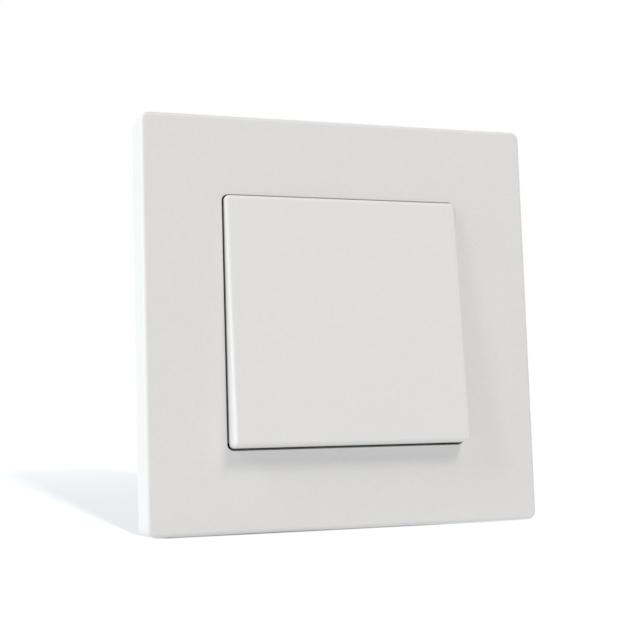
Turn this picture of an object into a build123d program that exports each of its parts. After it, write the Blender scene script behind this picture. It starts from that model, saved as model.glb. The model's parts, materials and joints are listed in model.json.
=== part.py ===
from build123d import *
import math
import os

# A flush rocker light switch with its mechanism, in millimetres.
# X runs to the right, Y runs into the wall and Z runs up. The origin is the middle of the switch
# in the plane of the wall, so everything on the room side of the wall has a negative Y.
# The rocker stands with its lower edge out, and the lower contact is closed.

# Clearances
running_gap = 0.05  # round part that turns or slides in its bore
press_gap = 0.02  # pin or screw seated in its bore
flat_gap = 0.15  # flat part in its slot
cheek_gap = 0.25  # between the side faces of a moving part and its neighbour
contact_gap = 0.08  # between contacts that are drawn closed

# Cover frame
frame_side = 82.0
frame_depth = 8.0
frame_front_wall = 1.8
frame_side_wall = 2.0
frame_corner_r = 1.8
frame_edge_r = 0.8
window_side = 50.1
window_corner_r = 1.25
window_edge_r = 0.2
collar_wall = 1.3
collar_clear = 1.1  # behind the window's collar, in front of the claw screw heads
seat_post_side = 2.6
seat_post_inset = 4.0
catch_width = 4.4
catch_thickness = 0.6
catch_inset = 0.3
catch_reach = 0.6  # how far a catch enters the window of its tongue

# Support plate
plate_margin = 3.5  # between the plate's edge and the frame's side wall
plate_thickness = 1.0
plate_corner_r = 4.0
plate_overlap = 2.0  # how far the plate's opening lies inside the housing's outline
opening_corner_r = 2.0
fixing_pitch = 60.0
fixing_slot_length = 7.0
fixing_slot_width = 3.4
tongue_pitch = 28.0
tongue_width = 8.0
tongue_margin = 0.9  # metal in front of the window of a tongue
tongue_gap = 0.3
tongue_relief = 0.5

# Rocker
rocker_gap = 0.35
rocker_proud = 2.8  # face in front of the frame, half way through the travel
rocker_tilt = 3.7  # to either side of the middle, in degrees
rocker_face_wall = 1.8
rocker_side_wall = 1.5
rocker_edge_r = 0.75
skirt_clear = 2.2  # behind the skirt at its deepest
clip_pitch = 14.0
clip_width = 4.0
clip_thickness = 1.2
clip_hook = 0.5
clip_hook_thickness = 1.0

# Cradle, pivot and plunger
pin_r = 0.9
hub_wall = 0.8
hub_gap = 0.3  # between the hub and the back of the rocker's face
hub_length = 27.4
cradle_width = 24.0
cradle_height = 22.0
cradle_thickness = 1.6
cradle_corner_r = 1.0
lever_r = 3.4
lever_length = 13.5
lever_bore_r = 2.4
spring_seat = 3.2  # from the pivot to the bottom of the spring's bore
plunger_guide = 5.0
plunger_reach = 4.7
plunger_tip_r = 1.6
plunger_neck = 0.6
plunger_stem_r = 1.2
plunger_stem_length = 2.5
plunger_gap = 0.12
spring_wire = 0.5
spring_turns = 4

# Bearing cover
cover_thickness = 2.0
cover_lip = 2.0
cover_corner_r = 2.5
post_width = 3.0
lever_clear = 0.6

# Contacts and bars
seesaw_tilt = 6.0  # to either side of the middle, in degrees
seesaw_width = 7.0
seesaw_margin = 1.0  # of the strip past its contacts
seesaw_thickness = 0.8
seesaw_lift = 0.6  # from the rocking axis to the back of the strip
bead_r = 1.2
contact_inset = 1.0  # from the middle of a bar to its contact, towards the middle of the switch
contact_r = 1.5
contact_thickness = 0.6
bar_thickness = 0.8
bar_width = 6.0
bar_inset = 4.2  # between a bar's leg and the housing's wall
bar_boss_gap = 0.9
bar_overhang = 0.6  # of a bar past its contact
leg_end_gap = 3.0  # between a bar's leg and the terminal cover
saddle_width = 5.0
saddle_height = 5.2
saddle_drop = 0.3

# Terminals
clamp_width = 4.6
clamp_thickness = 0.4
clamp_span = 7.8
clamp_bend = 2.4
clamp_bend_r = 1.0
clamp_foot_gap = 0.3
clamp_tip_gap = 0.25
clamp_tip_height = 2.3
clamp_rear_gap = 1.6
entry_r = 1.6
entry_gap = 0.1
entry_funnel = 0.6
release_width = 1.0
release_offset = 1.0
release_yoke = 1.2
release_finger = 3.0
release_rest_gap = 0.2
release_pad_width = 3.0
release_pad_height = 8.0
release_pad_proud = 1.6
release_edge_r = 0.4
release_slot_length = 4.5
release_slot_width = 0.9
release_slot_depth = 0.8

# Housing and terminal cover
housing_side = 40.0
housing_wall = 1.6
housing_corner = 3.0
floor_thickness = 1.5
terminal_depth = 9.75
terminal_cover_thickness = 2.2
terminal_cover_edge = 0.5
divider_thickness = 1.5
rib_thickness = 1.2
boss_r = 2.6
boss_sink = 0.2  # how far a screw boss runs into the walls

# Small screws
screw_r = 0.9
screw_hole_r = 1.2
screw_head_r = 1.9
screw_head_height = 1.2
screw_bite = 7.0
screw_pilot_spare = 1.0
screw_slot = 0.6
screw_dome_r = 0.5

# Spreading claws
claw_thickness = 1.2
claw_width = 7.2
claw_knuckle_r = 1.7
claw_wall_gap = 0.5
claw_axis_depth = 3.5
claw_arm_length = 14.5
claw_tooth_root = 2.8
claw_tooth = 2.0
claw_foot_drop = 0.4
claw_foot_spare = 2.4
claw_pin_r = 0.8
claw_screw_reach = 4.8
claw_screw_r = 1.5
claw_screw_head_r = 2.7
claw_screw_head_height = 1.9
claw_screw_slot = 0.8
claw_screw_dome_r = 0.7
claw_screw_spare = 1.4
claw_hole_gap = 0.2
claw_fork_gap = 0.25
claw_fork_room = 2.4  # from the screw's axis to the end of the fork
lug_thickness = 2.2
lug_r = 1.9
nut_r = 2.2
nut_length = 6.0

# Places across the switch, worked out from the sizes above
plate_side = frame_side - 2 * (frame_side_wall + plate_margin)
opening_side = housing_side - 2 * plate_overlap
cover_side = opening_side + 2 * cover_lip
inner_side = housing_side - 2 * housing_wall
inner_corner = housing_corner - housing_wall / 2
boss_place = inner_side / 2 - boss_r + boss_sink
bar_reach = inner_side / 2 - bar_inset
grip_x = bar_reach - bar_thickness
entry_x = grip_x - entry_gap - entry_r
anchor_x = grip_x - clamp_span
clamp_z = boss_place - boss_r - bar_boss_gap - bar_width / 2
clamp_pitch = 2 * clamp_z
contact_pitch = clamp_pitch - 2 * contact_inset
seesaw_length = contact_pitch + 2 * (contact_r + seesaw_margin)
claw_x = housing_side / 2 + claw_wall_gap + claw_knuckle_r
claw_screw_x = claw_x + claw_screw_reach
claw_arm_x = claw_x - claw_knuckle_r
lug_inner = claw_width / 2 + cheek_gap
lug_outer = lug_inner + lug_thickness

# Heights through the switch, worked out from the sizes above
tilt_sin = math.sin(math.radians(rocker_tilt))
tilt_cos = math.cos(math.radians(rocker_tilt))
rocker_side = window_side - 2 * rocker_gap
rocker_corner_r = window_corner_r - rocker_gap
hub_r = pin_r + hub_wall
face_y = -(frame_depth + rocker_proud)
pivot_y = face_y + rocker_face_wall + hub_gap + hub_r
rocker_face = pivot_y - face_y
rocker_inner = rocker_face - rocker_face_wall
skirt_y = -(plate_thickness + skirt_clear + rocker_side / 2 * tilt_sin)
rocker_skirt = skirt_y - face_y
frame_inner_y = -(frame_depth - frame_front_wall)
collar_side = window_side + 2 * collar_wall
collar_y = -(plate_thickness + claw_screw_head_height + collar_clear)
catch_y = collar_y - catch_inset
tongue_height = -(catch_y - catch_thickness - flat_gap - tongue_margin)
tongue_z = collar_side / 2 + tongue_gap + plate_thickness / 2
cover_y = -(plate_thickness + cover_thickness)
plunger_tip = lever_length + plunger_reach
plunger_shoulder = lever_length - plunger_guide
seesaw_y = pivot_y + plunger_tip + plunger_gap + seesaw_lift + seesaw_thickness
seesaw_sin = math.sin(math.radians(seesaw_tilt))
seesaw_cos = math.cos(math.radians(seesaw_tilt))
tip_face_y = (
    seesaw_y
    + (contact_pitch / 2 + contact_r) * seesaw_sin
    + (contact_thickness - seesaw_lift) * seesaw_cos
    + contact_gap
)
bar_y = tip_face_y + contact_thickness
floor_y = bar_y + bar_thickness
floor_back_y = floor_y + floor_thickness
housing_y = floor_back_y + terminal_depth
rear_y = housing_y + terminal_cover_thickness
claw_foot_back = claw_axis_depth + claw_foot_drop + claw_thickness
claw_end_y = claw_axis_depth + claw_arm_length
nut_y = claw_foot_back + flat_gap + nut_r
claw_screw_end = nut_y + nut_r + claw_screw_spare

# Sketch planes. Seen from the room, a sketch's x runs right and its y runs up.
rocker_plane = Plane(origin=(0, pivot_y, 0), x_dir=(1, 0, 0), z_dir=(0, -tilt_cos, tilt_sin))
lever_section = Plane(origin=(0, pivot_y, 0), x_dir=(1, 0, 0), z_dir=(0, -tilt_sin, -tilt_cos))
seesaw_plane = Plane(origin=(0, seesaw_y, 0), x_dir=(1, 0, 0), z_dir=(0, -seesaw_cos, -seesaw_sin))


def room_plane(y):
    """Plane at depth y that faces the room, so that extruding comes out of the wall."""
    return Plane(origin=(0, y, 0), x_dir=(1, 0, 0), z_dir=(0, -1, 0))


def save(piece, name):
    """Label a finished piece and write it."""
    piece.part.label = name
    export_step(piece.part, f"parts/{name}.step")


os.makedirs("parts", exist_ok=True)

# Cover frame: a shallow tray with a window, a collar behind the window, catches and seats
with BuildPart() as cover_frame:
    with BuildSketch(room_plane(0)):
        RectangleRounded(frame_side, frame_side, frame_corner_r)
    extrude(amount=frame_depth)
    fillet(cover_frame.faces().sort_by(Axis.Y)[0].edges(), frame_edge_r)
    with BuildSketch(room_plane(0)):
        Rectangle(frame_side - 2 * frame_side_wall, frame_side - 2 * frame_side_wall)
    extrude(amount=-frame_inner_y, mode=Mode.SUBTRACT)
    with BuildSketch(room_plane(collar_y)):
        RectangleRounded(collar_side, collar_side, window_corner_r + collar_wall)
    extrude(amount=collar_y - frame_inner_y)
    with BuildSketch(room_plane(collar_y)):
        RectangleRounded(window_side, window_side, window_corner_r)
    extrude(amount=collar_y + frame_depth, mode=Mode.SUBTRACT)
    fillet(cover_frame.faces().sort_by(Axis.Y)[0].inner_wires()[0].edges(), window_edge_r)
    catch_height = tongue_gap + catch_reach
    with BuildSketch(room_plane(catch_y)):
        with GridLocations(tongue_pitch, collar_side + catch_height, 2, 2):
            Rectangle(catch_width, catch_height)
    extrude(amount=catch_thickness)
    seat_post_pitch = plate_side - 2 * seat_post_inset
    with BuildSketch(room_plane(-plate_thickness)):
        with GridLocations(seat_post_pitch, seat_post_pitch, 2, 2):
            Rectangle(seat_post_side, seat_post_side)
    extrude(amount=-frame_inner_y - plate_thickness)
save(cover_frame, "cover_frame")

# Support plate: stamped steel with four bent tongues, each with a window for a catch of the frame
with BuildPart() as support_plate:
    relief_height = tongue_height - plate_thickness
    with BuildSketch(room_plane(0)):
        RectangleRounded(plate_side, plate_side, plate_corner_r)
        RectangleRounded(opening_side, opening_side, opening_corner_r, mode=Mode.SUBTRACT)
        with GridLocations(2 * claw_screw_x, 0, 2, 1):
            Circle(claw_screw_r + claw_hole_gap, mode=Mode.SUBTRACT)
        with GridLocations(0, fixing_pitch, 1, 2):
            SlotOverall(fixing_slot_length, fixing_slot_width, rotation=90, mode=Mode.SUBTRACT)
        with GridLocations(tongue_pitch, 2 * tongue_z + plate_thickness + relief_height, 2, 2):
            Rectangle(tongue_width + 2 * tongue_relief, relief_height, mode=Mode.SUBTRACT)
    extrude(amount=plate_thickness)
    with BuildSketch(room_plane(0)):
        with GridLocations(tongue_pitch, 2 * tongue_z, 2, 2):
            Rectangle(tongue_width, plate_thickness)
    extrude(amount=tongue_height)
    with BuildSketch(Plane.XY):
        with Locations((0, catch_y - catch_thickness / 2)):
            with GridLocations(tongue_pitch, 0, 2, 1):
                Rectangle(catch_width + 2 * flat_gap, catch_thickness + 2 * flat_gap)
    extrude(amount=tongue_z + plate_thickness, both=True, mode=Mode.SUBTRACT)
save(support_plate, "support_plate")

# Rocker: a hollow cap with a rounded face edge and four clips for the cradle
with BuildPart() as rocker:
    clip_gap = flat_gap
    clip_z = cradle_height / 2 + clip_gap + clip_thickness / 2
    hook_top = rocker_inner - cradle_thickness - clip_gap
    hook_back = hook_top - clip_hook_thickness
    hook_span = clip_hook + clip_gap + clip_thickness
    with BuildSketch(rocker_plane.offset(rocker_face - rocker_skirt)):
        RectangleRounded(rocker_side, rocker_side, rocker_corner_r)
    extrude(amount=rocker_skirt)
    out_of_wall = Axis((0, pivot_y, 0), rocker_plane.z_dir)
    fillet(rocker.faces().sort_by(out_of_wall)[-1].edges(), rocker_edge_r)
    with BuildSketch(rocker_plane.offset(rocker_face - rocker_skirt)):
        Rectangle(rocker_side - 2 * rocker_side_wall, rocker_side - 2 * rocker_side_wall)
    extrude(amount=rocker_skirt - rocker_face_wall, mode=Mode.SUBTRACT)
    with BuildSketch(rocker_plane.offset(hook_back)):
        with GridLocations(clip_pitch, 2 * clip_z, 2, 2):
            Rectangle(clip_width, clip_thickness)
    extrude(amount=rocker_inner - hook_back)
    with BuildSketch(rocker_plane.offset(hook_back)):
        with GridLocations(clip_pitch, 2 * clip_z + clip_thickness - hook_span, 2, 2):
            Rectangle(clip_width, hook_span)
    extrude(amount=clip_hook_thickness)
save(rocker, "rocker")

# Cradle: the plate that the rocker clips to, with the hub on the pivot and the lever tube
with BuildPart() as cradle:
    with BuildSketch(rocker_plane.offset(rocker_inner - cradle_thickness)):
        RectangleRounded(cradle_width, cradle_height, cradle_corner_r)
    extrude(amount=cradle_thickness)
    with BuildSketch(Plane.YZ):
        with Locations((pivot_y, 0)):
            Circle(hub_r)
    extrude(amount=hub_length / 2, both=True)
    with BuildSketch(rocker_plane.offset(-lever_length)):
        Circle(lever_r)
    extrude(amount=lever_length + rocker_inner - cradle_thickness)
    with BuildSketch(rocker_plane.offset(-lever_length)):
        Circle(lever_bore_r)
    extrude(amount=lever_length - spring_seat, mode=Mode.SUBTRACT)
    with BuildSketch(Plane.YZ):
        with Locations((pivot_y, 0)):
            Circle(pin_r + running_gap)
    extrude(amount=hub_length / 2, both=True, mode=Mode.SUBTRACT)
save(cradle, "cradle")

# Pivot pin through the cradle's hub and the two bearing posts
post_inner = hub_length / 2 + cheek_gap
post_outer = post_inner + post_width
with BuildPart() as pivot_pin:
    with BuildSketch(Plane.YZ):
        with Locations((pivot_y, 0)):
            Circle(pin_r)
    extrude(amount=post_outer, both=True)
save(pivot_pin, "pivot_pin")

# Plunger: a round-nosed pin that slides in the lever tube
plunger_r = lever_bore_r - running_gap
with BuildPart() as plunger:
    with BuildSketch(lever_section):
        with BuildLine():
            Polyline(
                (0, -plunger_tip),
                (0, -plunger_shoulder + plunger_stem_length),
                (plunger_stem_r, -plunger_shoulder + plunger_stem_length),
                (plunger_stem_r, -plunger_shoulder),
                (plunger_r, -plunger_shoulder),
                (plunger_r, -lever_length),
                (plunger_tip_r, -lever_length - plunger_neck),
                (plunger_tip_r, -plunger_tip + plunger_tip_r),
            )
            RadiusArc((plunger_tip_r, -plunger_tip + plunger_tip_r), (0, -plunger_tip), plunger_tip_r)
        make_face()
    revolve(axis=Axis((0, pivot_y, 0), rocker_plane.z_dir))
save(plunger, "plunger")

# Plunger spring between the bottom of the bore and the plunger's shoulder
spring_r = (lever_bore_r + plunger_stem_r) / 2
spring_height = plunger_shoulder - spring_seat - spring_wire - 2 * running_gap
spring_base = rocker_plane.offset(-plunger_shoulder + spring_wire / 2 + running_gap).origin
with BuildPart() as plunger_spring:
    with BuildLine() as coil:
        Helix(spring_height / spring_turns, spring_height, spring_r, spring_base, rocker_plane.z_dir)
    with BuildSketch(Plane(origin=coil.line @ 0, z_dir=coil.line % 0)):
        Circle(spring_wire / 2)
    sweep(is_frenet=True)
save(plunger_spring, "plunger_spring")

# Bearing cover: front cover of the housing, with a spigot in the plate's opening and two bearing posts
with BuildPart() as bearing_cover:
    lever_slot_half = lever_r / tilt_cos - pivot_y * tilt_sin + lever_clear
    with BuildSketch(room_plane(-plate_thickness)):
        RectangleRounded(cover_side, cover_side, cover_corner_r)
    extrude(amount=cover_thickness)
    with BuildSketch(room_plane(0)):
        RectangleRounded(opening_side - 2 * flat_gap, opening_side - 2 * flat_gap, opening_corner_r)
    extrude(amount=plate_thickness)
    for post_start in (post_inner, -post_outer):
        with BuildSketch(Plane.YZ.offset(post_start)):
            with Locations((pivot_y, 0)):
                Circle(hub_r)
            with Locations(((pivot_y + cover_y) / 2, 0)):
                Rectangle(cover_y - pivot_y, 2 * hub_r)
        extrude(amount=post_width)
    with BuildSketch(Plane.YZ):
        with Locations((pivot_y, 0)):
            Circle(pin_r + press_gap)
    extrude(amount=post_outer, both=True, mode=Mode.SUBTRACT)
    with BuildSketch(room_plane(0)):
        Rectangle(2 * (lever_r + lever_clear), 2 * lever_slot_half)
        with GridLocations(2 * boss_place, 2 * boss_place, 2, 2):
            Circle(screw_hole_r)
    extrude(amount=-cover_y, mode=Mode.SUBTRACT)
save(bearing_cover, "bearing_cover")

# Housing: a box open to the front and the rear, with a floor for the bars and bosses for the screws
rib_x = anchor_x - clamp_thickness / 2 - running_gap - rib_thickness / 2
backing_start = bar_reach + running_gap
backing_end = housing_side / 2 - housing_wall / 2
clamp_bend_y = housing_y - clamp_rear_gap
with BuildPart() as housing:
    with BuildSketch(room_plane(housing_y)) as outline:
        Rectangle(housing_side, housing_side)
        chamfer(outline.vertices(), housing_corner)
    extrude(amount=housing_y)
    with BuildSketch(room_plane(housing_y)) as chamber:
        Rectangle(inner_side, inner_side)
        chamfer(chamber.vertices(), inner_corner)
    extrude(amount=terminal_depth, mode=Mode.SUBTRACT)
    with BuildSketch(room_plane(floor_y)) as chamber:
        Rectangle(inner_side, inner_side)
        chamfer(chamber.vertices(), inner_corner)
    extrude(amount=floor_y, mode=Mode.SUBTRACT)
    with BuildSketch(room_plane(housing_y)):
        with GridLocations(2 * boss_place, 2 * boss_place, 2, 2):
            Circle(boss_r)
    extrude(amount=housing_y)
    with BuildSketch(room_plane(housing_y)):
        Rectangle(divider_thickness, inner_side)
    extrude(amount=terminal_depth)
    with BuildSketch(room_plane(clamp_bend_y)):
        with GridLocations(2 * rib_x, 0, 2, 1):
            Rectangle(rib_thickness, clamp_pitch + clamp_width)
        with GridLocations(backing_start + backing_end, clamp_pitch, 2, 2):
            Rectangle(backing_end - backing_start, rib_thickness)
    extrude(amount=clamp_bend_y - floor_back_y)
    pilot_depth = screw_bite + screw_pilot_spare
    for pilot_end in (pilot_depth, housing_y):
        with BuildSketch(room_plane(pilot_end)):
            with GridLocations(2 * boss_place, 2 * boss_place, 2, 2):
                Circle(screw_r + press_gap)
        extrude(amount=pilot_depth, mode=Mode.SUBTRACT)
    with BuildSketch(room_plane(floor_back_y)):
        with GridLocations(bar_reach + grip_x, clamp_pitch, 2, 2):
            Rectangle(bar_thickness + 2 * press_gap, bar_width + 2 * flat_gap)
    extrude(amount=floor_thickness, mode=Mode.SUBTRACT)
    lug_root = housing_side / 2 - housing_wall / 2
    for lug_start in (lug_inner, -lug_outer):
        with BuildSketch(Plane.XY.offset(lug_start)):
            with Locations((claw_x, claw_axis_depth), (-claw_x, claw_axis_depth)):
                Circle(lug_r)
            with Locations((0, claw_axis_depth)):
                with GridLocations(lug_root + claw_x, 0, 2, 1):
                    Rectangle(claw_x - lug_root, 2 * lug_r)
            with Locations((claw_x, claw_axis_depth), (-claw_x, claw_axis_depth)):
                Circle(claw_pin_r + press_gap, mode=Mode.SUBTRACT)
        extrude(amount=lug_thickness)
save(housing, "housing")

# Terminal cover: closes the rear of the housing, with the wire entries and the release button slots
release_x = anchor_x + clamp_bend + release_offset
with BuildPart() as terminal_cover:
    with BuildSketch(room_plane(rear_y)) as outline:
        Rectangle(housing_side, housing_side)
        chamfer(outline.vertices(), housing_corner)
        with GridLocations(2 * entry_x, clamp_pitch, 2, 2):
            Circle(entry_r, mode=Mode.SUBTRACT)
        with GridLocations(2 * release_x, 0, 2, 1):
            Rectangle(
                release_pad_width + 2 * flat_gap, release_pad_height + 2 * flat_gap, mode=Mode.SUBTRACT
            )
        with GridLocations(2 * boss_place, 2 * boss_place, 2, 2):
            Circle(screw_hole_r, mode=Mode.SUBTRACT)
    extrude(amount=terminal_cover_thickness)
    rear_face = terminal_cover.faces().sort_by(Axis.Y)[-1]
    chamfer(rear_face.outer_wire().edges(), terminal_cover_edge)
    entry_rims = rear_face.edges().filter_by(lambda edge: edge.geom_type == GeomType.CIRCLE)
    chamfer(entry_rims.filter_by(lambda edge: edge.radius > screw_hole_r), entry_funnel)
save(terminal_cover, "terminal_cover")

# Small screws: four hold the bearing cover from the front, four hold the terminal cover from the rear
with BuildPart() as front_screws:
    with BuildSketch(room_plane(screw_bite)):
        with GridLocations(2 * boss_place, 2 * boss_place, 2, 2):
            Circle(screw_r)
    extrude(amount=screw_bite - cover_y)
    with BuildSketch(room_plane(cover_y)):
        with GridLocations(2 * boss_place, 2 * boss_place, 2, 2):
            Circle(screw_head_r)
    extrude(amount=screw_head_height)
    fillet(front_screws.edges().filter_by(GeomType.CIRCLE).group_by(Axis.Y)[0], screw_dome_r)
    with BuildSketch(room_plane(cover_y - screw_head_height / 2)):
        with GridLocations(2 * boss_place, 2 * boss_place, 2, 2):
            Rectangle(2 * screw_head_r, screw_slot)
            Rectangle(screw_slot, screw_head_r)
    extrude(amount=screw_head_height / 2, mode=Mode.SUBTRACT)
save(front_screws, "front_screws")

with BuildPart() as rear_screws:
    with BuildSketch(room_plane(rear_y)):
        with GridLocations(2 * boss_place, 2 * boss_place, 2, 2):
            Circle(screw_r)
    extrude(amount=terminal_cover_thickness + screw_bite)
    with BuildSketch(room_plane(rear_y + screw_head_height)):
        with GridLocations(2 * boss_place, 2 * boss_place, 2, 2):
            Circle(screw_head_r)
    extrude(amount=screw_head_height)
    fillet(rear_screws.edges().filter_by(GeomType.CIRCLE).group_by(Axis.Y)[-1], screw_dome_r)
    with BuildSketch(room_plane(rear_y + screw_head_height)):
        with GridLocations(2 * boss_place, 2 * boss_place, 2, 2):
            Rectangle(2 * screw_head_r, screw_slot)
            Rectangle(screw_slot, screw_head_r)
    extrude(amount=screw_head_height / 2, mode=Mode.SUBTRACT)
save(rear_screws, "rear_screws")

# Seesaw contact: a strip with a rolled bead that rocks in the common bar's saddle
with BuildPart() as seesaw_contact:
    with BuildSketch(seesaw_plane.offset(seesaw_lift)):
        Rectangle(seesaw_width, seesaw_length)
    extrude(amount=seesaw_thickness)
    with BuildSketch(Plane.YZ):
        with Locations((seesaw_y, 0)):
            Circle(bead_r)
    extrude(amount=saddle_width / 2, both=True)
save(seesaw_contact, "seesaw_contact")

with BuildPart() as seesaw_tips:
    with BuildSketch(seesaw_plane.offset(seesaw_lift - contact_thickness)):
        with GridLocations(0, contact_pitch, 1, 2):
            Circle(contact_r)
    extrude(amount=contact_thickness)
save(seesaw_tips, "seesaw_tips")

with BuildPart() as fixed_tips:
    with BuildSketch(room_plane(bar_y)):
        with GridLocations(0, contact_pitch, 1, 2):
            Circle(contact_r)
    extrude(amount=contact_thickness)
save(fixed_tips, "fixed_tips")

# Common bar: saddle in the middle, arm to the left and two legs down to the left terminals
leg_y = housing_y - leg_end_gap
with BuildPart() as common_terminal:
    with BuildSketch(room_plane(floor_y)):
        with Locations(((saddle_width / 2 - bar_reach) / 2, 0)):
            Rectangle(bar_reach + saddle_width / 2, saddle_height)
        with Locations((bar_width / 2 - bar_reach, 0)):
            Rectangle(bar_width, clamp_pitch + bar_width)
    extrude(amount=bar_thickness)
    with BuildSketch(room_plane(floor_y)):
        Rectangle(saddle_width, saddle_height)
    extrude(amount=floor_y - seesaw_y - saddle_drop)
    with BuildSketch(Plane.YZ):
        with Locations((seesaw_y, 0)):
            Circle(bead_r + running_gap)
    extrude(amount=saddle_width / 2, both=True, mode=Mode.SUBTRACT)
    with BuildSketch(room_plane(leg_y)):
        with Locations((bar_thickness / 2 - bar_reach, 0)):
            with GridLocations(0, clamp_pitch, 1, 2):
                Rectangle(bar_thickness, bar_width)
    extrude(amount=leg_y - floor_y)
save(common_terminal, "common_terminal")

# Lower and upper bars: a strip under the fixed contact and a leg down to the right terminal
for level, bar_name in ((-1, "lower_terminal"), (1, "upper_terminal")):
    bar_start = -contact_r - bar_overhang
    with BuildPart() as switched_bar:
        with BuildSketch(room_plane(floor_y)):
            with Locations(((bar_start + bar_reach) / 2, level * clamp_z)):
                Rectangle(bar_reach - bar_start, bar_width)
        extrude(amount=bar_thickness)
        with BuildSketch(room_plane(leg_y)):
            with Locations((bar_reach - bar_thickness / 2, level * clamp_z)):
                Rectangle(bar_thickness, bar_width)
        extrude(amount=leg_y - floor_y)
    save(switched_bar, bar_name)

# Clamp springs: bent leaf springs that press each wire against the leg of its bar
clamp_tip_x = grip_x - clamp_tip_gap - clamp_thickness / 2
clamp_tip_y = floor_back_y + clamp_tip_height
for level, level_name in ((-1, "lower"), (1, "upper")):
    for side, side_name in ((-1, "left"), (1, "right")):
        with BuildPart() as clamp_spring:
            with BuildSketch(Plane.XY.offset(level * clamp_z - clamp_width / 2)):
                with BuildLine():
                    FilletPolyline(
                        (side * anchor_x, floor_back_y + clamp_foot_gap),
                        (side * anchor_x, clamp_bend_y),
                        (side * (anchor_x + clamp_bend), clamp_bend_y),
                        (side * clamp_tip_x, clamp_tip_y),
                        radius=clamp_bend_r,
                    )
                trace(line_width=clamp_thickness)
            extrude(amount=clamp_width)
        save(clamp_spring, f"clamp_spring_{level_name}_{side_name}")

# Release buttons: a pad through the terminal cover, a yoke and two fingers over the clamp springs
clamp_slope = (clamp_bend_y - clamp_tip_y) / (clamp_tip_x - anchor_x - clamp_bend)
finger_rise = (release_offset - release_width / 2) * clamp_slope
finger_y = clamp_bend_y - finger_rise + clamp_thickness / 2 * math.hypot(1, clamp_slope) + release_rest_gap
yoke_y = housing_y - running_gap
for side, side_name in ((-1, "left"), (1, "right")):
    with BuildPart() as release_button:
        with BuildSketch(room_plane(yoke_y)):
            with Locations((side * release_x, 0)):
                Rectangle(release_width, clamp_pitch + release_finger)
        extrude(amount=release_yoke)
        with BuildSketch(room_plane(yoke_y)):
            with Locations((side * release_x, 0)):
                with GridLocations(0, clamp_pitch, 1, 2):
                    Rectangle(release_width, release_finger)
        extrude(amount=yoke_y - finger_y)
        with BuildSketch(room_plane(rear_y + release_pad_proud)):
            with Locations((side * release_x, 0)):
                Rectangle(release_pad_width, release_pad_height)
        extrude(amount=rear_y + release_pad_proud - yoke_y)
        fillet(release_button.faces().sort_by(Axis.Y)[-1].edges(), release_edge_r)
        with BuildSketch(room_plane(rear_y + release_pad_proud)):
            with Locations((side * release_x, 0)):
                SlotOverall(release_slot_length, release_slot_width, rotation=90)
        extrude(amount=release_slot_depth, mode=Mode.SUBTRACT)
    save(release_button, f"release_button_{side_name}")

# Spreading claws, each with its hinge pin, screw and barrel nut
claw_foot_end = claw_screw_x + claw_foot_spare
for side, side_name in ((-1, "left"), (1, "right")):
    with BuildPart() as claw:
        with BuildSketch(Plane.XY):
            with Locations((side * claw_x, claw_axis_depth)):
                Circle(claw_knuckle_r)
            with Locations((side * (claw_x + claw_foot_end) / 2, claw_foot_back - claw_thickness / 2)):
                Rectangle(claw_foot_end - claw_x, claw_thickness)
            with Locations((side * (claw_arm_x + claw_thickness / 2), (claw_axis_depth + claw_end_y) / 2)):
                Rectangle(claw_thickness, claw_arm_length)
            with Locations((side * claw_x, claw_axis_depth)):
                Circle(claw_pin_r + running_gap, mode=Mode.SUBTRACT)
        extrude(amount=claw_width / 2, both=True)
        root_x = side * (claw_arm_x + claw_tooth_root)
        tooth_x = side * (claw_arm_x + claw_tooth_root + claw_tooth)
        with BuildSketch(room_plane(claw_end_y)):
            with BuildLine():
                Polyline(
                    (side * claw_arm_x, -claw_width / 2),
                    (root_x, -claw_width / 2),
                    (tooth_x, -claw_width / 4),
                    (root_x, 0),
                    (tooth_x, claw_width / 4),
                    (root_x, claw_width / 2),
                    (side * claw_arm_x, claw_width / 2),
                    close=True,
                )
            make_face()
        extrude(amount=claw_thickness)
        fork_length = claw_fork_room + claw_foot_spare
        with BuildSketch(room_plane(claw_foot_back)):
            with Locations((side * (claw_screw_x - claw_fork_room + fork_length / 2), 0)):
                Rectangle(fork_length, 2 * (claw_screw_r + claw_fork_gap))
        extrude(amount=claw_thickness, mode=Mode.SUBTRACT)
    save(claw, f"claw_{side_name}")

    with BuildPart() as claw_pin:
        with BuildSketch(Plane.XY):
            with Locations((side * claw_x, claw_axis_depth)):
                Circle(claw_pin_r)
        extrude(amount=lug_outer, both=True)
    save(claw_pin, f"claw_pin_{side_name}")

    with BuildPart() as claw_screw:
        with BuildSketch(room_plane(claw_screw_end)):
            with Locations((side * claw_screw_x, 0)):
                Circle(claw_screw_r)
        extrude(amount=claw_screw_end + plate_thickness)
        with BuildSketch(room_plane(-plate_thickness)):
            with Locations((side * claw_screw_x, 0)):
                Circle(claw_screw_head_r)
        extrude(amount=claw_screw_head_height)
        fillet(claw_screw.edges().filter_by(GeomType.CIRCLE).group_by(Axis.Y)[0], claw_screw_dome_r)
        with BuildSketch(room_plane(-plate_thickness - claw_screw_head_height / 2)):
            with Locations((side * claw_screw_x, 0)):
                Rectangle(2 * claw_screw_head_r, claw_screw_slot)
        extrude(amount=claw_screw_head_height / 2, mode=Mode.SUBTRACT)
    save(claw_screw, f"claw_screw_{side_name}")

    with BuildPart() as claw_nut:
        with BuildSketch(Plane.XY):
            with Locations((side * claw_screw_x, nut_y)):
                Circle(nut_r)
        extrude(amount=nut_length / 2, both=True)
        with BuildSketch(room_plane(nut_y + nut_r)):
            with Locations((side * claw_screw_x, 0)):
                Circle(claw_screw_r + running_gap)
        extrude(amount=2 * nut_r, mode=Mode.SUBTRACT)
    save(claw_nut, f"claw_nut_{side_name}")
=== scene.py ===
"""Dresses a rocker light switch: finishes for every piece, threaded claw screws and a pale stage."""

import json
import math

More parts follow.
